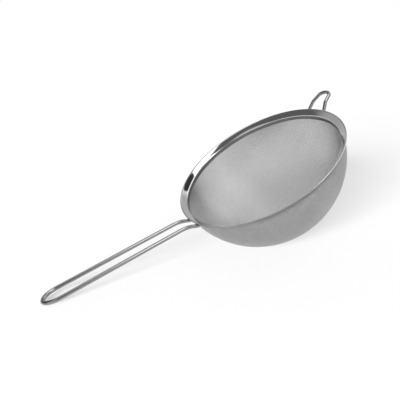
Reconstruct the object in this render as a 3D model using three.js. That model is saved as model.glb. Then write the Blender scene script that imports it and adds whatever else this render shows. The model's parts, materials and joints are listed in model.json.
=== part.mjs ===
// A mesh sieve: a round bowl of woven steel wire, its edge fixed under the flange of a spun rim, with a hairpin
// handle of bent wire on one side of the rim and, on the other, a small wire hook for a pot's edge.
// Millimetres, +Z up. The sieve lies as it is put down: on its bowl and on the tip of its handle.
import * as THREE from 'three';

// Rim: a steel sheet spun into a sloping flange, with a collar that stands inside the cloth
const RIM_RADIUS = 100;
const RIM_SHEET = 0.6;
const RIM_LAND = 0.9;
const RIM_LIP = 0.6;
const RIM_BEND = 1.5;
const FLANGE_WIDTH = 7.2;
const FLANGE_SLOPE = THREE.MathUtils.degToRad(37);
const COLLAR_DEPTH = 9.5;

// Cloth: a plain weave pressed into part of a ball, drawn at about ten times its real pitch
const BOWL_LEAN = THREE.MathUtils.degToRad(7.4); // from upright, where the cloth passes the collar's foot
const BOWL_STANDOFF = 1.2; // from the collar's foot to the cloth
const CLOTH_WIRE = 0.6;
const CLOTH_WIRES_EACH_WAY = 25;
const CLOTH_MARGIN = 0.7; // how far the outermost wire lies from the collar, in cells of the cloth

// Handle: one round wire bent into a hairpin with a bullet-shaped end
const HANDLE_WIRE = 4.2;
const HANDLE_ROOT_WIDTH = 18.9;
const HANDLE_TIP_WIDTH = 21;
const HANDLE_STUB = 14.2;
const HANDLE_LENGTH = 154.3;
const HANDLE_SLOPE = THREE.MathUtils.degToRad(15);
const HANDLE_BEND = 40;
const HANDLE_TIP = 15;

// Hook: a lighter wire bent into a loop that narrows to a round end
const HOOK_WIRE = 4;
const HOOK_ROOT_WIDTH = 25.2;
const HOOK_TIP_WIDTH = 16.2;
const HOOK_STUB = 14.7;
const HOOK_LENGTH = 14.3;
const HOOK_SLOPE = THREE.MathUtils.degToRad(14.3);
const HOOK_BEND = 6;
const HOOK_TIP = 6.1;

// Clearances: between pieces that touch, and between crossing wires
const SEAT_GAP = 0.3;
const CROSSING_GAP = 0.3;

// Facets
const RING_SEGMENTS = 72;
const BEND_STEPS = 5;
const TIP_STEPS = 14;
const HANDLE_SIDES = 12;
const HOOK_SIDES = 10;
const CLOTH_SIDES = 4;

// Finishes
const POLISHED_STEEL = { color: 0xc4c6c8, roughness: 0.18, metalness: 0.95 };
const DRAWN_WIRE = { color: 0xb9bbbd, roughness: 0.25, metalness: 0.95 };
const CLOTH_STEEL = { color: 0xa6a8aa, roughness: 0.4, metalness: 0.9 };

function piece(name, geometry, finish) {
  const mesh = new THREE.Mesh(geometry, new THREE.MeshStandardMaterial(finish));
  mesh.name = name;
  return mesh;
}

// A closed profile of (radius, height) points, listed anticlockwise, turned about Z
function ring(profile) {
  const closed = [...profile, profile[0]];
  return new THREE.LatheGeometry(closed, RING_SEGMENTS).rotateX(Math.PI / 2);
}

function arcPoints(centre, radius, from, to, steps) {
  const points = [];
  for (let k = 0; k <= steps; k++) {
    const angle = THREE.MathUtils.lerp(from, to, k / steps);
    const spoke = new THREE.Vector2(Math.cos(angle), Math.sin(angle)).multiplyScalar(radius);
    points.push(spoke.add(centre));
  }
  return points;
}

// A line of knots joined by straight runs, so that an extrusion steps exactly from knot to knot
class KnotPath extends THREE.Curve {
  constructor(knots) {
    super();
    this.knots = knots;
  }

  getPoint(t, target = new THREE.Vector3()) {
    const place = t * (this.knots.length - 1);
    const run = Math.min(Math.floor(place), this.knots.length - 2);
    return target.lerpVectors(this.knots[run], this.knots[run + 1], place - run);
  }

  getUtoTmapping(u) {
    return u;
  }
}

function roundWire(knots, diameter, sides) {
  const circle = arcPoints(new THREE.Vector2(), diameter / 2, 0, 2 * Math.PI, sides);
  const section = new THREE.Shape(circle.slice(0, sides));
  return new THREE.ExtrudeGeometry(section, {
    steps: knots.length - 1,
    bevelEnabled: false,
    extrudePath: new KnotPath(knots),
  });
}

// Rim in section: height 0 is the flat top edge of the rim
const flangeRise = Math.tan(FLANGE_SLOPE);
const flangeThickness = RIM_SHEET / Math.cos(FLANGE_SLOPE);
const collarInner = RIM_RADIUS - FLANGE_WIDTH;
const collarOuter = collarInner + RIM_SHEET;
const landInner = RIM_RADIUS - RIM_LAND;

// Height of the flange's underside at a radius
function underside(radius) {
  return (radius - landInner) * flangeRise - flangeThickness;
}

function rimFlange() {
  const outerBend = RIM_BEND + RIM_SHEET;
  const bendRadius = collarOuter + RIM_BEND;
  const bendHeight = (bendRadius - landInner) * flangeRise - outerBend / Math.cos(FLANGE_SLOPE);
  const bendCentre = new THREE.Vector2(bendRadius, bendHeight);
  const flangeNormal = Math.PI / 2 + FLANGE_SLOPE;
  const lipInner = landInner + (flangeThickness - RIM_LIP) / flangeRise;
  return ring([
    new THREE.Vector2(collarOuter, -COLLAR_DEPTH),
    ...arcPoints(bendCentre, RIM_BEND, Math.PI, flangeNormal, BEND_STEPS),
    new THREE.Vector2(lipInner, -RIM_LIP),
    new THREE.Vector2(RIM_RADIUS, -RIM_LIP),
    new THREE.Vector2(RIM_RADIUS, 0),
    new THREE.Vector2(landInner, 0),
    ...arcPoints(bendCentre, outerBend, flangeNormal, Math.PI, BEND_STEPS),
    new THREE.Vector2(collarInner, -COLLAR_DEPTH),
  ]);
}

// Cloth in section: the bowl is the ball that passes outside the collar's foot at its lean. The cloth ends where
// the ball's inner face meets a line that lies one seat below the flange's underside.
const weaveRise = (CLOTH_WIRE + CROSSING_GAP) / 2;
const weaveHalf = weaveRise + CLOTH_WIRE / 2;
const bowlRadius = (collarOuter + BOWL_STANDOFF + weaveHalf) / Math.cos(BOWL_LEAN);
const bowlCentre = bowlRadius * Math.sin(BOWL_LEAN) - COLLAR_DEPTH;
const seatFromAxis = landInner * Math.sin(FLANGE_SLOPE) + RIM_SHEET + SEAT_GAP;
const seatFromCentre = seatFromAxis + bowlCentre * Math.cos(FLANGE_SLOPE);
const seatRun = Math.sqrt((bowlRadius - weaveHalf) ** 2 - seatFromCentre ** 2);
const clothEdge = bowlCentre - seatFromCentre * Math.cos(FLANGE_SLOPE) + seatRun * Math.sin(FLANGE_SLOPE);
const clothOuter = Math.sqrt(bowlRadius ** 2 - (bowlCentre - clothEdge) ** 2) + weaveHalf;

// Crossings in one quarter of a cloth draped on a ball without stretching its wires, from the ball's centre.
// The two middle wires follow great circles, and every cell between wires is a rhombus: its far corner
// mirrors its near corner in the plane through the ball's centre and the two corners between them.
function quarterNet(count, pitch) {
  const net = [];
  for (let i = 0; i < count; i++) {
    net.push([]);
    for (let j = 0; j < count; j++) {
      const angle = ((i + j) * pitch) / bowlRadius;
      if (i === 0 || j === 0) {
        const direction = new THREE.Vector3(Math.sign(i), Math.sign(j), 0).multiplyScalar(Math.sin(angle));
        direction.z = -Math.cos(angle);
        net[i].push(direction.multiplyScalar(bowlRadius));
      } else {
        const mirror = net[i - 1][j].clone().cross(net[i][j - 1]).normalize();
        net[i].push(net[i - 1][j - 1].clone().reflect(mirror));
      }
    }
  }
  return net;
}

// Knots of one wire, over and under its crossings by turns, cut off where the cloth ends under the flange.
// crossingAt(k) is the crossing that lies k wires from the middle of this wire's run.
function wovenKnots(crossingAt, startsOver) {
  const knotAt = (k) => {
    const over = (k % 2 === 0) === startsOver;
    const knot = crossingAt(k).setLength(bowlRadius + (over ? -weaveRise : weaveRise));
    knot.z += bowlCentre;
    return knot;
  };
  const halfRun = (side) => {
    const knots = [];
    let last = knotAt(0);
    let next = knotAt(side);
    while (next.z < clothEdge) {
      knots.push(next);
      last = next;
      next = knotAt((knots.length + 1) * side);
    }
    knots.push(last.clone().lerp(next, (clothEdge - last.z) / (next.z - last.z)));
    return knots;
  };
  return [...halfRun(-1).reverse(), knotAt(0), ...halfRun(1)];
}

function wireCloth() {
  const cloth = new THREE.Group();
  const half = (CLOTH_WIRES_EACH_WAY - 1) / 2;
  const pitch = (bowlRadius * (Math.PI / 2 - BOWL_LEAN)) / (half + CLOTH_MARGIN);
  const net = quarterNet(half + 3, pitch);
  const crossing = (i, j) => {
    const corner = net[Math.abs(i)][Math.abs(j)];
    return new THREE.Vector3(Math.sign(i) * corner.x, Math.sign(j) * corner.y, corner.z);
  };
  for (let n = -half; n <= half; n++) {
    const number = String(n + half + 1).padStart(2, '0');
    const warp = wovenKnots((k) => crossing(k, n), n % 2 === 0);
    const weft = wovenKnots((k) => crossing(n, k), n % 2 !== 0);
    cloth.add(piece(`warp_wire_${number}`, roundWire(warp, CLOTH_WIRE, CLOTH_SIDES), CLOTH_STEEL));
    cloth.add(piece(`weft_wire_${number}`, roundWire(weft, CLOTH_WIRE, CLOTH_SIDES), CLOTH_STEEL));
  }
  return cloth;
}

// Centre line of a wire bent into a hairpin. Its two ends lie under the flange, against the rim's lip and the
// cloth. From there it follows the flange's slope along the stub, bends to its own slope, and turns back in a
// half-ellipse. Each knot has the distance out from the rim's axis, the place across, and the height; the
// legs stand to either side of the middle, where the round rim and cloth lie a little further in.
function hairpinKnots({ wire, rootWidth, tipWidth, stub, length, slope, bend, tip }) {
  const lipDrop = Math.max((RIM_LIP + underside(RIM_RADIUS)) * Math.cos(FLANGE_SLOPE), 0);
  const rootRadius = clothOuter + SEAT_GAP + (wire / 2) * Math.sin(FLANGE_SLOPE);
  const rootHeight = underside(rootRadius) - (lipDrop + SEAT_GAP + wire / 2) / Math.cos(FLANGE_SLOPE);
  const rootOut = rootRadius - clothOuter + Math.sqrt(clothOuter ** 2 - (rootWidth / 2) ** 2);

  const turn = FLANGE_SLOPE - slope;
  const cut = bend * Math.tan(turn / 2);
  const bendStart = stub - cut;
  const bendEnd = bendStart + bend * turn;
  const tipMiddle = bendEnd + length - cut - tip;

  // Legs touch the half-ellipse: squeezed to a circle along its length, that is a line touching a circle
  const squeezed = (tipMiddle * tipWidth) / (2 * tip);
  const reach = Math.hypot(rootWidth / 2, squeezed);
  const taper = Math.acos(tipWidth / 2 / reach) - Math.atan2(squeezed, rootWidth / 2);
  const legEnd = tipMiddle + tip * Math.sin(taper);
  const legEndHalf = (tipWidth / 2) * Math.cos(taper);

  const knotAt = (s, across) => {
    const before = Math.min(s, bendStart);
    const turned = THREE.MathUtils.clamp((s - bendStart) / bend, 0, turn);
    const after = Math.max(s - bendEnd, 0);
    const arcOut = bend * (Math.sin(FLANGE_SLOPE) - Math.sin(FLANGE_SLOPE - turned));
    const arcUp = bend * (Math.cos(FLANGE_SLOPE - turned) - Math.cos(FLANGE_SLOPE));
    const out = before * Math.cos(FLANGE_SLOPE) + arcOut + after * Math.cos(slope);
    const up = before * Math.sin(FLANGE_SLOPE) + arcUp + after * Math.sin(slope);
    return new THREE.Vector3(rootOut + out, across, rootHeight + up);
  };

  const leg = [knotAt(0, rootWidth / 2)];
  for (let k = 0; k <= BEND_STEPS; k++) {
    const s = THREE.MathUtils.lerp(bendStart, bendEnd, k / BEND_STEPS);
    leg.push(knotAt(s, THREE.MathUtils.lerp(rootWidth / 2, legEndHalf, s / legEnd)));
  }
  const halfTurn = Math.PI / 2 - taper;
  const round = [];
  for (let k = 0; k <= TIP_STEPS; k++) {
    const angle = THREE.MathUtils.lerp(halfTurn, -halfTurn, k / TIP_STEPS);
    round.push(knotAt(tipMiddle + tip * Math.cos(angle), (tipWidth / 2) * Math.sin(angle)));
  }
  const mirrored = leg.map((knot) => new THREE.Vector3(knot.x, -knot.y, knot.z)).reverse();
  return [...leg, ...round, ...mirrored];
}

const handleKnots = hairpinKnots({
  wire: HANDLE_WIRE,
  rootWidth: HANDLE_ROOT_WIDTH,
  tipWidth: HANDLE_TIP_WIDTH,
  stub: HANDLE_STUB,
  length: HANDLE_LENGTH,
  slope: HANDLE_SLOPE,
  bend: HANDLE_BEND,
  tip: HANDLE_TIP,
});

const hookKnots = hairpinKnots({
  wire: HOOK_WIRE,
  rootWidth: HOOK_ROOT_WIDTH,
  tipWidth: HOOK_TIP_WIDTH,
  stub: HOOK_STUB,
  length: HOOK_LENGTH,
  slope: HOOK_SLOPE,
  bend: HOOK_BEND,
  tip: HOOK_TIP,
});

// Handle on the -X side of the rim, hook on the +X side
const handle = piece('handle_wire', roundWire(handleKnots, HANDLE_WIRE, HANDLE_SIDES), DRAWN_WIRE);
handle.rotation.z = Math.PI;
const hook = piece('rest_hook', roundWire(hookKnots, HOOK_WIRE, HOOK_SIDES), DRAWN_WIRE);

const sieve = new THREE.Group();
sieve.add(piece('rim_flange', rimFlange(), POLISHED_STEEL));
sieve.add(wireCloth());
sieve.add(handle);
sieve.add(hook);

// Put down: the floor touches the ball of the bowl and the round of the handle's tip
const tipKnot = handleKnots[(handleKnots.length - 1) / 2];
const tipDistance = Math.hypot(tipKnot.x, tipKnot.z - bowlCentre);
const touchAngle = Math.asin((bowlRadius + weaveHalf - HANDLE_WIRE / 2) / tipDistance);
sieve.rotation.y = -(touchAngle + Math.atan2(tipKnot.z - bowlCentre, tipKnot.x));

// Origin: on the floor, under the middle of the whole sieve
const box = new THREE.Box3().setFromObject(sieve, true);
const middle = box.getCenter(new THREE.Vector3());
sieve.position.set(-middle.x, -middle.y, -box.min.z);

const part = new THREE.Group();
part.add(sieve);

export default part;
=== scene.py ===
"""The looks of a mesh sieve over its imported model: a spun rim, a wire handle, a wire hook, and the
bowl's fine woven cloth, wire by wire. Sizes are in millimetres in the sieve's own frame (origin in the
middle of the rim's top edge, x towards the hook, z out of the mouth), and `placed` puts them in the row
frame in metres."""
import json
import math

import bpy
import numpy as np
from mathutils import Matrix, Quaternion, Vector


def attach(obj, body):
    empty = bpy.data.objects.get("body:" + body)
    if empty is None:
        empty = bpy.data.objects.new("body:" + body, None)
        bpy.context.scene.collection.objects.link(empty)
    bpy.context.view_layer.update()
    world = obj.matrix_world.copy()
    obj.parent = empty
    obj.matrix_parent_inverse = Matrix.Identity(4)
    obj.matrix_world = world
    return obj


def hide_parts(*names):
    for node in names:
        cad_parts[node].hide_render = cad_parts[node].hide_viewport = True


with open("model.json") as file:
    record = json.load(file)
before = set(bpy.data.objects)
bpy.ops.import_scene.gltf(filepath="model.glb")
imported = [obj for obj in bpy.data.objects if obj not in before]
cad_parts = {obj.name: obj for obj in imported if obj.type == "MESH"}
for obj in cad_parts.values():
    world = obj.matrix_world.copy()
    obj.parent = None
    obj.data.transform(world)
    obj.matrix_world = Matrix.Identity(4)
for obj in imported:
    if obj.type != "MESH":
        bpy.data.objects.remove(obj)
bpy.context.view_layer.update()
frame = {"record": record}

MM_PER_METRE = 1000
WIRE_MAP = "wire_map"

# Where a Mix node has its two inputs and its output, for numbers and for colours
MIX_PLACES = {"FLOAT": (2, 3, 0), "RGBA": (6, 7, 2)}

# Rim
RIM_RADIUS = 100.0
RIM_SHEET = 0.6
RIM_LAND = 0.9
RIM_LIP = 0.6
RIM_BEND = 1.5
FLANGE_WIDTH = 7.2
FLANGE_SLOPE = math.radians(37)
COLLAR_DEPTH = 9.5
EDGE_ROUND = 0.2
LAND_ROUND = 0.15
FLANGE_ROUND = 1.8
FLANGE_BOW = 0.2
FLANGE_STEPS = 10
CORNER_STEPS = 7
RING_STEPS = 288

# Cloth
BOWL_LEAN = math.radians(7.4)
BOWL_STANDOFF = 1.2
CAD_WIRE = 0.6
CROSSING_GAP = 0.3
CAD_WIRES_EACH_WAY = 25
MESH_PITCH = 1.45
MESH_WIRE = 0.61
CLOTH_STRIPS = 5

# Wires that the cloth's net has past its edge, and a length that keeps its unused knots finite
MESH_MARGIN = 4
NEVER_ZERO = 1e-12

# Handle and hook
SEAT_GAP = 0.3
HANDLE = dict(wire=4.2, root_width=18.9, tip_width=21.0, stub=14.2, length=154.3,
              slope=math.radians(15), bend=40.0, tip=15.0)
HOOK = dict(wire=4.0, root_width=25.2, tip_width=16.2, stub=14.7, length=14.3,
            slope=math.radians(14.3), bend=6.0, tip=6.1)
WIRE_SIDES = 32
WIRE_STEP = 1.2
TIP_STEPS = 48
END_CHAMFER = 0.35

# Finishes: greys from dark to light, roughness where fresh and where handled, and strength of the lines
POLISHED = dict(dark=0.58, light=0.66, smooth=0.03, worn=0.07, bump=0.05)
DRAWN = dict(dark=0.3, light=0.36, smooth=0.05, worn=0.09, bump=0.05)
FINE = dict(dark=0.54, light=0.61, smooth=0.28, worn=0.38, bump=0.0)

# Lines and smudges of the polish: the relief in millimetres, the rest as their noise takes it
LINE_RELIEF = 0.05
LINE_DETAIL = 4.0
LINE_CRISPNESS = 0.7
LINE_STREAK = 0.04
LINE_TONES = (0.3, 0.7)
SMUDGE_SCALE = 45.0
SMUDGE_DETAIL = 5.0
SMUDGE_WAVER = 0.6
SMUDGE_EDGES = (0.42, 0.72)
TURNING_FINENESS = (5000, 5000, 12)
DRAWING_FINENESS = (14, 14, 9)
GRAIN_FINENESS = (180, 180, 180)

# The rim's collar and underside: a duller skin, and a darker tone that is painted shade for the seams'
# shadow; both start and are full so far below the polished face
SEAM_SHADE_TONE = 0.3
SKIN_ROUGHNESS = 0.25
SHADE_AND_SKIN_START = 0.25
SHADE_AND_SKIN_FULL = 0.6

# Photograph's view: where the camera stands and what the middle of the picture looks at, in metres
CAMERA_PLACE = Vector((-0.18246, -0.34967, 0.19764))
CAMERA_AIM = Vector((-0.00282, 0.0, 0.0653))
CAMERA_ROLL = math.radians(-3.65)
CAMERA_LENS = 34.94
CAMERA_SENSOR = 36.0
CAMERA_NEAR = 0.01
CAMERA_FAR = 200.0

# Floor, in metres, with the light of its own that sight and mirrors see, and lamp, in degrees
FLOOR_HALF = 30.0
FLOOR_DROP = 0.0002
FLOOR_TONE = 0.4
FLOOR_LIGHT = 0.47
KEY_LAMP = dict(azimuth=-60, elevation=13, width=26, strength=12.5)

# Studio walls as round patches: azimuth, elevation, inner and outer half-width in degrees, brightness.
# A later patch lies over the earlier ones. Bright ones make the streaks on rim and wires, dark ones the
# dark stretches between them, and the last is the white backdrop low behind the sieve.
WALL_LIGHT = 0.5
EVEN_LIGHT = 0.4
WHITE = 1.0
STUDIO_PATCHES = (
    (25, 15, 30, 75, 0.3),
    (105, 50, 22, 36, 1.7),
    (150, 30, 20, 38, 0.6),
    (-90, 42, 38, 62, 0.15),
    (-122, 18, 16, 25, 0.15),
    (-55, 26, 22, 31, 0.8),
    (110, 2, 14, 22, 0.1),
    (4, 45, 14, 18, 2.4),
    (4, 69, 9, 12, 2.3),
    (-28, 46, 10, 16, 0.35),
    (46, 30, 18, 26, 0.6),
    (-90, 84, 8, 13, 2.0),
    (80, 87, 8, 11, 2.2),
    (40, 78, 11.5, 14, 2.3),
    (124, 68, 9.5, 12, 0.05),
    (166, 49, 5, 8, 1.4),
    (-167, 45, 10, 16, 0.1),
    (-121, 66, 9, 15, 1.6),
    (-156, 59, 5, 10, 1.2),
    (178, 31, 6, 10, 0.1),
    (153, -80, 88, 91, WHITE),
)

# Sections worked out from the sizes above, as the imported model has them
flange_rise = math.tan(FLANGE_SLOPE)
flange_thickness = RIM_SHEET / math.cos(FLANGE_SLOPE)
collar_inner = RIM_RADIUS - FLANGE_WIDTH
collar_outer = collar_inner + RIM_SHEET
land_inner = RIM_RADIUS - RIM_LAND
weave_half = CAD_WIRE + CROSSING_GAP / 2
bowl_radius = (collar_outer + BOWL_STANDOFF + weave_half) / math.cos(BOWL_LEAN)
bowl_centre = bowl_radius * math.sin(BOWL_LEAN) - COLLAR_DEPTH

# The rim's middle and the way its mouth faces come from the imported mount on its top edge
rim_mount = next(m for m in frame["record"]["mounts"] if m["name"] == "rim_top")
mouth_way = np.array(rim_mount["axis"], float)
hook_way = np.array([mouth_way[2], 0.0, -mouth_way[0]])
side_way = np.array([0.0, 1.0, 0.0])
rim_middle = np.array(rim_mount["pos_m"], float) * [1, 0, 1]


def placed(points):
    """Row-frame metres of points in the sieve's frame: middle + (x·hook + y·side + z·mouth) / 1000."""
    return rim_middle + (points @ np.stack([hook_way, side_way, mouth_way])) / MM_PER_METRE


def flange_under(radius):
    """Height of the flange's underside: a straight slope that ends at the land, one sheet lower."""
    return (radius - land_inner) * flange_rise - flange_thickness


# The cloth ends where the ball's inner face meets a line one seat below the flange's underside
seat_from_centre = (land_inner * math.sin(FLANGE_SLOPE) + RIM_SHEET + SEAT_GAP
                    + bowl_centre * math.cos(FLANGE_SLOPE))
seat_run = math.sqrt((bowl_radius - weave_half) ** 2 - seat_from_centre**2)
cloth_edge = bowl_centre - seat_from_centre * math.cos(FLANGE_SLOPE) + seat_run * math.sin(FLANGE_SLOPE)
cloth_outer = math.sqrt(bowl_radius**2 - (bowl_centre - cloth_edge) ** 2) + weave_half


def make_piece(name, points, faces, corner_uv, material, slot, nodes):
    """A smooth mesh from points (n, 3), four-cornered faces (m, 4) and a map position for each corner."""
    mesh = bpy.data.meshes.new(name)
    mesh.vertices.add(len(points))
    mesh.vertices.foreach_set("co", placed(points).astype(np.float32).ravel())
    mesh.loops.add(faces.size)
    mesh.loops.foreach_set("vertex_index", faces.astype(np.int32).ravel())
    mesh.polygons.add(len(faces))
    mesh.polygons.foreach_set("loop_start", np.arange(0, faces.size, 4, dtype=np.int32))
    mesh.update(calc_edges=True)
    mesh.polygons.foreach_set("use_smooth", np.ones(len(faces), bool))
    layer = mesh.uv_layers.new(name=WIRE_MAP)
    layer.data.foreach_set("uv", corner_uv.astype(np.float32).ravel())
    mesh.validate()
    mesh.materials.append(material)
    piece = bpy.data.objects.new(name, mesh)
    bpy.context.scene.collection.objects.link(piece)
    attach(piece, "root")
    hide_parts(*nodes)


def grid_quads(rows, columns, close_rows):
    """Faces and map positions of a grid of points whose columns close on themselves. Face (i, j) joins
    points (i, j), (i+1, j), (i+1, j+1) and (i, j+1), and its map corners are those steps over the
    count."""
    spans = rows if close_rows else rows - 1
    i, j = np.meshgrid(np.arange(spans), np.arange(columns), indexing="ij")
    step_i = np.stack([i, i + 1, i + 1, i], -1).reshape(-1, 4)
    step_j = np.stack([j, j, j + 1, j + 1], -1).reshape(-1, 4)
    faces = (step_i % rows) * columns + step_j % columns
    return faces, np.stack([step_i / spans, step_j / columns], -1)


def rounded_section(corners, rounds):
    """A closed section whose corners are arcs: an arc touches both straight sides at round / tan(half
    corner) and goes from start to end by sin((1 - t)·sweep)·start + sin(t·sweep)·end, over
    sin(sweep)."""
    corners = np.array(corners, float)
    points = []
    for k, radius in enumerate(rounds):
        corner = corners[k]
        back = corners[k - 1] - corner
        ahead = corners[(k + 1) % len(corners)] - corner
        back /= np.linalg.norm(back)
        ahead /= np.linalg.norm(ahead)
        half = math.acos(np.clip(back @ ahead, -1, 1)) / 2
        middle_way = (back + ahead) / np.linalg.norm(back + ahead)
        centre = corner + middle_way * radius / math.sin(half)
        start = corner + back * radius / math.tan(half) - centre
        end = corner + ahead * radius / math.tan(half) - centre
        sweep = math.pi - 2 * half
        t = np.linspace(0, 1, CORNER_STEPS)[:, None]
        arc = (np.sin((1 - t) * sweep) * start + np.sin(t * sweep) * end) / math.sin(sweep)
        points.append(centre + arc)
    return np.concatenate(points)


def turned_ring(section):
    """A section (radius, height) turned about the rim's axis: (r·cos a, r·sin a, z), a in equal steps."""
    angle = np.linspace(0, 2 * math.pi, RING_STEPS, endpoint=False)[:, None]
    radius = section[:, 0]
    height = np.broadcast_to(section[:, 1], (RING_STEPS, len(section)))
    points = np.stack([radius * np.cos(angle), radius * np.sin(angle), height], -1)
    faces, corner_uv = grid_quads(RING_STEPS, len(section), close_rows=True)
    return points.reshape(-1, 3), faces, corner_uv


def rim_section():
    """The rim's sheet in section: collar, bend, sloping flange and flat land, anticlockwise from the
    collar's foot, each corner with its round. Spinning leaves the flange a little bowed: it stands
    4·bow·s·(1 - s) above straight, s from bend to land."""
    lip_inner = land_inner + (flange_thickness - RIM_LIP) / flange_rise
    corners = [
        (collar_outer, -COLLAR_DEPTH, EDGE_ROUND),
        (collar_outer, flange_under(collar_outer), RIM_BEND),
        (lip_inner, -RIM_LIP, EDGE_ROUND),
        (RIM_RADIUS, -RIM_LIP, LAND_ROUND),
        (RIM_RADIUS, 0.0, LAND_ROUND),
        (land_inner, 0.0, FLANGE_ROUND),
        (collar_inner, flange_under(collar_inner) + flange_thickness, RIM_BEND + RIM_SHEET),
        (collar_inner, -COLLAR_DEPTH, EDGE_ROUND),
    ]
    section = rounded_section([corner[:2] for corner in corners], [corner[2] for corner in corners])
    following = np.roll(section, -1, axis=0)
    long_runs = np.abs(following[:, 0] - section[:, 0]) > FLANGE_WIDTH / 2
    share = np.linspace(0, 1, FLANGE_STEPS, endpoint=False)[:, None]
    runs = [a + share * (b - a) if split else a[None] for a, b, split in zip(section, following, long_runs)]
    section = np.concatenate(runs)
    across = np.clip((section[:, 0] - collar_inner) / (land_inner - collar_inner), 0, 1)
    section[:, 1] += FLANGE_BOW * 4 * across * (1 - across)
    return section


def hairpin(wire, root_width, tip_width, stub, length, slope, bend, tip):
    """Centre line of a bent wire and the way its flat faces up, one row for each step along it. In the
    flat the line is two legs and a half-ellipse. The flat then follows the flange's slope along the
    stub, turns on an arc, and goes on at its own slope: (out, up) adds cos and sin of the slope over
    each stretch."""
    lip_drop = max((RIM_LIP + flange_under(RIM_RADIUS)) * math.cos(FLANGE_SLOPE), 0)
    root_radius = cloth_outer + SEAT_GAP + wire / 2 * math.sin(FLANGE_SLOPE)
    root_height = flange_under(root_radius) - (lip_drop + SEAT_GAP + wire / 2) / math.cos(FLANGE_SLOPE)
    root_out = root_radius - cloth_outer + math.sqrt(cloth_outer**2 - (root_width / 2) ** 2)
    turn = FLANGE_SLOPE - slope
    cut = bend * math.tan(turn / 2)
    bend_start = stub - cut
    bend_end = bend_start + bend * turn
    tip_middle = bend_end + length - cut - tip
    squeezed = tip_middle * tip_width / (2 * tip)
    taper = math.acos(tip_width / 2 / math.hypot(root_width / 2, squeezed))
    taper -= math.atan2(squeezed, root_width / 2)
    leg_end = tip_middle + tip * math.sin(taper)
    leg_end_half = tip_width / 2 * math.cos(taper)

    leg_steps = np.arange(2 * END_CHAMFER, leg_end - WIRE_STEP / 2, WIRE_STEP)
    leg_along = np.concatenate([[0, END_CHAMFER], leg_steps])
    leg_across = root_width / 2 + (leg_end_half - root_width / 2) * leg_along / leg_end
    angle = np.linspace(math.pi / 2 - taper, taper - math.pi / 2, TIP_STEPS)
    along = np.concatenate([leg_along, tip_middle + tip * np.cos(angle), leg_along[::-1]])
    across = np.concatenate([leg_across, tip_width / 2 * np.sin(angle), -leg_across[::-1]])

    before = np.minimum(along, bend_start)
    turned = np.clip((along - bend_start) / bend, 0, turn)
    after = np.maximum(along - bend_end, 0)
    lean = FLANGE_SLOPE - turned
    out = before * math.cos(FLANGE_SLOPE) + after * math.cos(slope)
    out += bend * (math.sin(FLANGE_SLOPE) - np.sin(lean))
    up = before * math.sin(FLANGE_SLOPE) + after * math.sin(slope)
    up += bend * (np.cos(lean) - math.cos(FLANGE_SLOPE))
    line = np.stack([root_out + out, across, root_height + up], -1)
    return line, np.stack([-np.sin(lean), np.zeros_like(lean), np.cos(lean)], -1)


def round_wire(line, face_up, diameter):
    """A circle carried along a line: p + r·(cos a·up + sin a·side), side = up × way. The first and last
    rings are drawn in by the chamfer, and a strip of faces from side to side closes each end."""
    way = np.gradient(line, axis=0)
    side = np.cross(face_up, way)
    side /= np.linalg.norm(side, axis=1, keepdims=True)
    radius = np.full((len(line), 1, 1), diameter / 2)
    radius[[0, -1]] -= END_CHAMFER
    angle = np.linspace(0, 2 * math.pi, WIRE_SIDES, endpoint=False)[None, :, None]
    points = line[:, None] + radius * (np.cos(angle) * face_up[:, None] + np.sin(angle) * side[:, None])
    faces, corner_uv = grid_quads(len(line), WIRE_SIDES, close_rows=False)
    k = np.arange(WIRE_SIDES // 2 - 1)
    cap = np.stack([k, k + 1, WIRE_SIDES - 2 - k, WIRE_SIDES - 1 - k], -1)
    caps = np.concatenate([cap, cap[:, ::-1] + (len(line) - 1) * WIRE_SIDES])
    faces = np.concatenate([faces, caps])
    return points.reshape(-1, 3), faces, np.concatenate([corner_uv, np.zeros((len(caps), 4, 2))])


def draped_net(count, pitch):
    """Crossings of a square cloth laid on a ball without stretching, as unit vectors, for a quarter of
    the bowl. The two middle wires follow great circles, and each cell is a rhombus, so its far corner
    mirrors its near one in the plane through the ball's centre and the two corners between them: far =
    near - 2·(near·m)·m, where m is left × right at unit length."""
    net = np.zeros((count, count, 3))
    arc = np.arange(count) * pitch / bowl_radius
    net[:, 0] = np.stack([np.sin(arc), np.zeros(count), -np.cos(arc)], -1)
    net[0, :] = np.stack([np.zeros(count), np.sin(arc), -np.cos(arc)], -1)
    for diagonal in range(2, 2 * count - 1):
        i = np.arange(max(1, diagonal - count + 1), min(diagonal, count))
        j = diagonal - i
        mirror = np.cross(net[i - 1, j], net[i, j - 1])
        mirror /= np.linalg.norm(mirror, axis=1, keepdims=True)
        near = net[i - 1, j - 1]
        net[i, j] = near - 2 * (near * mirror).sum(1, keepdims=True) * mirror
    return net


def whole_net(count, pitch):
    """The quarter net mirrored in both middle wires: entry (i, j) is i - count + 1 and j - count + 1 wires
    away from them."""
    quarter = draped_net(count, pitch)
    half = np.concatenate([quarter[:0:-1] * [-1, 1, 1], quarter])
    return np.concatenate([half[:, :0:-1] * [1, -1, 1], half], axis=1)


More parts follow.
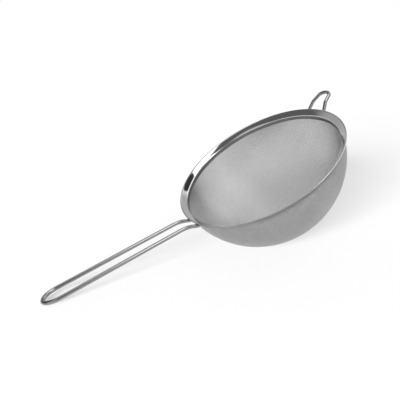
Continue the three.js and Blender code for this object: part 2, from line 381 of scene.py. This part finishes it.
def woven_wires(net, lines, starts):
    """Four-sided tubes along the chosen rows of a net. A wire passes over and under its crossings by
    turns: radius = ball ± wire / 2. Rows end where the cloth does, with their last step cut at the
    cloth's edge."""
    steps = net.shape[1]
    over = ((lines[:, None] + np.arange(steps) + starts) % 2) * 2 - 1
    knots = net[lines] * (bowl_radius + over * MESH_WIRE / 2)[..., None] + [0, 0, bowl_centre]
    height = knots[..., 2]
    inside = height < cloth_edge
    ahead = np.roll(knots, -1, axis=1)
    behind = np.roll(knots, 1, axis=1)
    inner = np.where(np.roll(inside, -1, axis=1)[..., None], ahead, behind)
    fringe = ~inside & (np.roll(inside, 1, axis=1) | np.roll(inside, -1, axis=1))
    share = (cloth_edge - inner[..., 2]) / np.where(fringe, height - inner[..., 2], 1)
    knots = np.where(fringe[..., None], inner + share[..., None] * (knots - inner), knots)
    used = inside | fringe

    way = np.roll(knots, -1, axis=1) - np.roll(knots, 1, axis=1)
    out = net[lines]
    side = np.cross(out, way)
    side /= np.linalg.norm(side, axis=-1, keepdims=True) + NEVER_ZERO
    up = np.cross(way, side)
    up /= np.linalg.norm(up, axis=-1, keepdims=True) + NEVER_ZERO
    corner = np.stack([up, side, -up, -side], 2) * MESH_WIRE / 2
    points = (knots[:, :, None] + corner)[used].reshape(-1, 3)

    first = np.full(used.shape, -1)
    first[used] = np.arange(used.sum()) * 4
    row, step = np.nonzero(used[:, :-1] & used[:, 1:])
    k = np.arange(4)
    here = first[row, step][:, None]
    there = first[row, step + 1][:, None]
    after = (k + 1) % 4
    sides = np.stack([here + k, there + k, there + after, here + after], -1).reshape(-1, 4)
    along = np.broadcast_to((step[:, None, None] + np.array([0, 1, 1, 0])) / steps, (len(row), 4, 4))
    round_about = (row[:, None, None] + (k[:, None] + np.array([0, 0, 1, 1])) / 4) / len(lines)
    side_map = np.stack([along, round_about], -1).reshape(-1, 4, 2)

    begins = first[used & ~np.roll(used, 1, axis=1)]
    ends = first[used & ~np.roll(used, -1, axis=1)]
    caps = np.concatenate([begins[:, None] + k, ends[:, None] + k[::-1]])
    faces = np.concatenate([sides, caps])
    return points, faces, np.concatenate([side_map, np.zeros((len(caps), 4, 2))])


def wire_nodes(kind, strip):
    """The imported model's wires that a strip of fine cloth stands for: an even share of its kind."""
    names = [f"{kind}_wire_{n:02d}" for n in range(1, CAD_WIRES_EACH_WAY + 1)]
    return [str(n) for n in np.array_split(names, CLOTH_STRIPS)[strip]]


def set_or_link(links, value, socket):
    """Links a socket to the one given, or sets it to the plain value given."""
    if isinstance(value, bpy.types.NodeSocket):
        links.new(value, socket)
    else:
        socket.default_value = value


def reckoned(nodes, links, operation, *values):
    """A Math node's result, as a socket: each value is a socket or a plain number."""
    node = nodes.new("ShaderNodeMath")
    node.operation = operation
    for socket, value in zip(node.inputs, values):
        set_or_link(links, value, socket)
    return node.outputs["Value"]


def scaled(nodes, links, vector, fineness):
    """A vector times its fineness along each axis, as a socket."""
    times = nodes.new("ShaderNodeVectorMath")
    times.operation = "MULTIPLY"
    times.inputs[1].default_value = fineness
    links.new(vector, times.inputs[0])
    return times.outputs["Vector"]


def smooth_step(nodes, links, value, start, end, low=0.0, high=1.0):
    """A smooth step from low, where the value is start, to high, where it is end, as a socket."""
    step = nodes.new("ShaderNodeMapRange")
    step.interpolation_type = "SMOOTHSTEP"
    step.inputs["From Min"].default_value = start
    step.inputs["From Max"].default_value = end
    links.new(value, step.inputs["Value"])
    set_or_link(links, low, step.inputs["To Min"])
    set_or_link(links, high, step.inputs["To Max"])
    return step.outputs["Result"]


def mixed(nodes, links, kind, factor, first, second):
    """first·(1 - factor) + second·factor, of numbers or of colours, as a socket."""
    mix = nodes.new("ShaderNodeMix")
    mix.data_type = kind
    first_place, second_place, result_place = MIX_PLACES[kind]
    links.new(factor, mix.inputs["Factor"])
    set_or_link(links, first, mix.inputs[first_place])
    set_or_link(links, second, mix.inputs[second_place])
    return mix.outputs[result_place]


def polish_marks_group():
    """Marks of polishing, for every steel: fine lines along one way of a map, with their height and
    tone, and smudges of handling. Roughness goes from smooth to worn in the smudges, plus streak·lines."""
    group = bpy.data.node_groups.new("polish_marks", "ShaderNodeTree")
    for name, kind in (("Lines", "Vector"), ("Place", "Vector"), ("Smooth", "Float"), ("Worn", "Float")):
        group.interface.new_socket(name=name, in_out="INPUT", socket_type="NodeSocket" + kind)
    for name in ("Roughness", "Height", "Tone"):
        group.interface.new_socket(name=name, in_out="OUTPUT", socket_type="NodeSocketFloat")
    nodes, links = group.nodes, group.links
    given = nodes.new("NodeGroupInput")
    made = nodes.new("NodeGroupOutput")

    lines = nodes.new("ShaderNodeTexNoise")
    lines.inputs["Scale"].default_value = 1.0
    lines.inputs["Detail"].default_value = LINE_DETAIL
    lines.inputs["Roughness"].default_value = LINE_CRISPNESS
    links.new(given.outputs["Lines"], lines.inputs["Vector"])
    links.new(lines.outputs["Fac"], made.inputs["Height"])
    tone = nodes.new("ShaderNodeMapRange")
    tone.inputs["From Min"].default_value = LINE_TONES[0]
    tone.inputs["From Max"].default_value = LINE_TONES[1]
    links.new(lines.outputs["Fac"], tone.inputs["Value"])
    links.new(tone.outputs["Result"], made.inputs["Tone"])

    smudge = nodes.new("ShaderNodeTexNoise")
    smudge.inputs["Scale"].default_value = SMUDGE_SCALE
    smudge.inputs["Detail"].default_value = SMUDGE_DETAIL
    smudge.inputs["Distortion"].default_value = SMUDGE_WAVER
    links.new(given.outputs["Place"], smudge.inputs["Vector"])
    handled = smooth_step(nodes, links, smudge.outputs["Fac"], *SMUDGE_EDGES,
                          given.outputs["Smooth"], given.outputs["Worn"])
    streaked = reckoned(nodes, links, "MULTIPLY_ADD", lines.outputs["Fac"], LINE_STREAK, handled)
    links.new(streaked, made.inputs["Roughness"])
    return group


def steel(name, marks, line_vector, dark, light, smooth, worn, bump):
    """A steel whose tone, roughness and bump come from the polish marks. line_vector(nodes, links)
    gives the way that its lines run."""
    material = bpy.data.materials.new(name)
    material.use_nodes = True
    nodes, links = material.node_tree.nodes, material.node_tree.links
    shader = nodes["Principled BSDF"]
    shader.inputs["Metallic"].default_value = 1.0
    place = nodes.new("ShaderNodeTexCoord")
    group = nodes.new("ShaderNodeGroup")
    group.node_tree = marks
    group.inputs["Smooth"].default_value = smooth
    group.inputs["Worn"].default_value = worn
    links.new(place.outputs["Object"], group.inputs["Place"])
    links.new(line_vector(nodes, links), group.inputs["Lines"])
    dark_grey = (dark, dark, dark, 1)
    light_grey = (light, light, light, 1)
    tone = mixed(nodes, links, "RGBA", group.outputs["Tone"], dark_grey, light_grey)
    links.new(tone, shader.inputs["Base Color"])
    links.new(group.outputs["Roughness"], shader.inputs["Roughness"])
    if bump:
        ridge = nodes.new("ShaderNodeBump")
        ridge.inputs["Strength"].default_value = bump
        ridge.inputs["Distance"].default_value = LINE_RELIEF / MM_PER_METRE
        links.new(group.outputs["Height"], ridge.inputs["Height"])
        links.new(ridge.outputs["Normal"], shader.inputs["Normal"])
    return material


def rim_place(nodes, links):
    """A point's distance from the rim's axis, its height along it, and its x in the rim's frame, as
    sockets in metres."""
    place = nodes.new("ShaderNodeTexCoord")
    to_rim = nodes.new("ShaderNodeMapping")
    to_rim.vector_type = "TEXTURE"
    to_rim.inputs["Location"].default_value = rim_middle
    to_rim.inputs["Rotation"].default_value = (0, math.atan2(mouth_way[0], mouth_way[2]), 0)
    links.new(place.outputs["Object"], to_rim.inputs["Vector"])
    split = nodes.new("ShaderNodeSeparateXYZ")
    links.new(to_rim.outputs["Vector"], split.inputs["Vector"])
    flat = nodes.new("ShaderNodeCombineXYZ")
    links.new(split.outputs["X"], flat.inputs["X"])
    links.new(split.outputs["Y"], flat.inputs["Y"])
    away = nodes.new("ShaderNodeVectorMath")
    away.operation = "LENGTH"
    links.new(flat.outputs["Vector"], away.inputs[0])
    return away.outputs["Value"], split.outputs["Z"], split.outputs["X"]


def turning_lines(nodes, links):
    """Lines round the rim's axis: noise read finely by the distance from the axis and the height along
    it, and slowly along x, so that a line comes and goes on its way round."""
    lines = nodes.new("ShaderNodeCombineXYZ")
    for socket, axis in zip(rim_place(nodes, links), "XYZ"):
        links.new(socket, lines.inputs[axis])
    return scaled(nodes, links, lines.outputs["Vector"], TURNING_FINENESS)


def dull_back(material):
    """The polish ends at the sheet's edges: collar and underside keep the rolled sheet's duller skin, and
    get a darker tone that is painted shade, standing in for the shadow in the seams under the flange and by
    the cloth. A point's height over the flange's top line is height - min((distance - land)·rise, 0), and
    skin and shade come in by a smooth step of it."""
    nodes, links = material.node_tree.nodes, material.node_tree.links
    shader = nodes["Principled BSDF"]
    distance, height, _ = rim_place(nodes, links)
    land_rise = -land_inner * flange_rise / MM_PER_METRE
    slope = reckoned(nodes, links, "MULTIPLY_ADD", distance, flange_rise, land_rise)
    top_line = reckoned(nodes, links, "MINIMUM", slope, 0.0)
    over = reckoned(nodes, links, "SUBTRACT", height, top_line)
    shade_and_dull = smooth_step(nodes, links, over, -SHADE_AND_SKIN_START / MM_PER_METRE, -SHADE_AND_SKIN_FULL / MM_PER_METRE)
    # The darker colour mixed in here is painted shade for the seams' shadow; the roughness is the skin's
    # own
    for name, kind, shaded_skin in (("Base Color", "RGBA", (SEAM_SHADE_TONE, SEAM_SHADE_TONE, SEAM_SHADE_TONE, 1)),
                             ("Roughness", "FLOAT", SKIN_ROUGHNESS)):
        polish = shader.inputs[name].links[0].from_socket
        links.new(mixed(nodes, links, kind, shade_and_dull, polish, shaded_skin), shader.inputs[name])


def drawing_lines(nodes, links):
    """Lines along a wire: noise read slowly along its map's first way and finely round a circle of its
    second way, at (cos 2πv, sin 2πv, u)."""
    own = nodes.new("ShaderNodeUVMap")
    own.uv_map = WIRE_MAP
    split = nodes.new("ShaderNodeSeparateXYZ")
    links.new(own.outputs["UV"], split.inputs["Vector"])
    turn = reckoned(nodes, links, "MULTIPLY", split.outputs["Y"], 2 * math.pi)
    lines = nodes.new("ShaderNodeCombineXYZ")
    links.new(reckoned(nodes, links, "COSINE", turn), lines.inputs["X"])
    links.new(reckoned(nodes, links, "SINE", turn), lines.inputs["Y"])
    links.new(split.outputs["X"], lines.inputs["Z"])
    return scaled(nodes, links, lines.outputs["Vector"], DRAWING_FINENESS)


def cloth_grain(nodes, links):
    """A fine even grain for the cloth's thin wires, read in space."""
    place = nodes.new("ShaderNodeTexCoord")
    return scaled(nodes, links, place.outputs["Object"], GRAIN_FINENESS)


def pale_floor():
    """A white floor that keeps a faint shadow: sight and mirrors see half of its white as its own light."""
    material = bpy.data.materials.new("pale_floor")
    material.use_nodes = True
    nodes, links = material.node_tree.nodes, material.node_tree.links
    nodes.clear()
    tone = nodes.new("ShaderNodeBsdfDiffuse")
    tone.inputs["Color"].default_value = (FLOOR_TONE, FLOOR_TONE, FLOOR_TONE, 1)
    path = nodes.new("ShaderNodeLightPath")
    seen = reckoned(nodes, links, "MAXIMUM", path.outputs["Is Camera Ray"], path.outputs["Is Glossy Ray"])
    glow = nodes.new("ShaderNodeEmission")
    links.new(reckoned(nodes, links, "MULTIPLY", seen, FLOOR_LIGHT), glow.inputs["Strength"])
    both = nodes.new("ShaderNodeAddShader")
    links.new(tone.outputs["BSDF"], both.inputs[0])
    links.new(glow.outputs["Emission"], both.inputs[1])
    out = nodes.new("ShaderNodeOutputMaterial")
    links.new(both.outputs["Shader"], out.inputs["Surface"])
    return material


def way_to(azimuth, elevation):
    """Unit vector into the studio: azimuth 0 is the camera's side (-Y), 90 the hook's side (+X)."""
    a, e = math.radians(azimuth), math.radians(elevation)
    return Vector((math.sin(a) * math.cos(e), -math.cos(a) * math.cos(e), math.sin(e)))


def studio_world():
    """Walls of a soft studio, as metal mirrors them: each patch lays its brightness over the last by a
    smooth step of the cosine of the angle to it. The floor gets an even light, and the camera sees
    white walls."""
    world = bpy.data.worlds.new("studio")
    bpy.context.scene.world = world
    world.use_nodes = True
    nodes, links = world.node_tree.nodes, world.node_tree.links
    nodes.clear()
    way = nodes.new("ShaderNodeTexCoord")
    light = WALL_LIGHT
    for azimuth, elevation, inner, outer, brightness in STUDIO_PATCHES:
        near = nodes.new("ShaderNodeVectorMath")
        near.operation = "DOT_PRODUCT"
        near.inputs[1].default_value = way_to(azimuth, elevation)
        links.new(way.outputs["Generated"], near.inputs[0])
        inner_cosine = math.cos(math.radians(inner))
        outer_cosine = math.cos(math.radians(outer))
        patch = smooth_step(nodes, links, near.outputs["Value"], outer_cosine, inner_cosine)
        light = mixed(nodes, links, "FLOAT", patch, light, brightness)
    path = nodes.new("ShaderNodeLightPath")
    light = mixed(nodes, links, "FLOAT", path.outputs["Is Diffuse Ray"], light, EVEN_LIGHT)
    light = mixed(nodes, links, "FLOAT", path.outputs["Is Camera Ray"], light, WHITE)
    sky = nodes.new("ShaderNodeBackground")
    sky.inputs["Color"].default_value = (1, 1, 1, 1)
    links.new(light, sky.inputs["Strength"])
    out = nodes.new("ShaderNodeOutputWorld")
    links.new(sky.outputs["Background"], out.inputs["Surface"])


def soft_sun(name, azimuth, elevation, width, strength):
    """A far lamp, wide enough for a soft shadow. Mirrors don't show it: they show the studio's walls."""
    data = bpy.data.lights.new(name, "SUN")
    data.angle = math.radians(width)
    data.energy = strength
    lamp = bpy.data.objects.new(name, data)
    bpy.context.scene.collection.objects.link(lamp)
    lamp.visible_glossy = False
    lamp.rotation_mode = "QUATERNION"
    lamp.rotation_quaternion = way_to(azimuth, elevation).to_track_quat("Z", "Y")


def pale_ground(half, drop):
    """A square floor just under the sieve."""
    mesh = bpy.data.meshes.new("floor")
    corners = [(-half, -half, -drop), (half, -half, -drop), (half, half, -drop), (-half, half, -drop)]
    mesh.from_pydata(corners, [], [(0, 1, 2, 3)])
    mesh.materials.append(pale_floor())
    floor = bpy.data.objects.new("floor", mesh)
    bpy.context.scene.collection.objects.link(floor)


def photo_camera():
    """The camera where the photograph was taken: it looks at the aim, then rolls about its own axis."""
    data = bpy.data.cameras.new("photo_camera")
    data.lens = CAMERA_LENS
    data.sensor_width = CAMERA_SENSOR
    data.clip_start = CAMERA_NEAR
    data.clip_end = CAMERA_FAR
    camera = bpy.data.objects.new("photo_camera", data)
    bpy.context.scene.collection.objects.link(camera)
    camera.location = CAMERA_PLACE
    camera.rotation_mode = "QUATERNION"
    look = (CAMERA_AIM - CAMERA_PLACE).to_track_quat("-Z", "Y")
    camera.rotation_quaternion = look @ Quaternion((0, 0, 1), CAMERA_ROLL)
    bpy.context.scene.camera = camera


photo_camera()
bpy.context.scene.view_settings.view_transform = "Standard"
studio_world()
soft_sun("key_lamp", **KEY_LAMP)
pale_ground(FLOOR_HALF, FLOOR_DROP)

marks = polish_marks_group()
polished = steel("polished_steel", marks, turning_lines, **POLISHED)
# Painted shade darkens the rim's collar and the flange's underside, which also get a duller roughness
dull_back(polished)
drawn = steel("drawn_wire", marks, drawing_lines, **DRAWN)
fine = steel("cloth_wire", marks, cloth_grain, **FINE)

make_piece("spun_rim", *turned_ring(rim_section()), polished, "polished_steel", ["rim_flange"])

# The handle is bent as the hook is, and stands half a turn about the rim's axis away from it
handle_line, handle_up = hairpin(**HANDLE)
half_turn = np.array([-1, -1, 1])
make_piece("bent_handle", *round_wire(handle_line * half_turn, handle_up * half_turn, HANDLE["wire"]),
           drawn, "drawn_wire", ["handle_wire"])
hook_line, hook_up = hairpin(**HOOK)
make_piece("bent_hook", *round_wire(hook_line, hook_up, HOOK["wire"]), drawn, "drawn_wire", ["rest_hook"])

# A wire of the cloth is kept where the middle of it lies below the cloth's edge
edge_angle = math.acos((bowl_centre - cloth_edge) / bowl_radius)
net = whole_net(int(bowl_radius * edge_angle / MESH_PITCH) + MESH_MARGIN, MESH_PITCH)
for kind, crossings, starts in (("warp", net.transpose(1, 0, 2), 0), ("weft", net, 1)):
    middle_height = crossings[:, len(crossings) // 2, 2] * bowl_radius + bowl_centre
    kept = np.flatnonzero(middle_height < cloth_edge)
    for strip, lines in enumerate(np.array_split(kept, CLOTH_STRIPS)):
        make_piece(f"{kind}_cloth_{strip + 1}", *woven_wires(crossings, lines, starts), fine, "cloth_wire",
                   wire_nodes(kind, strip))
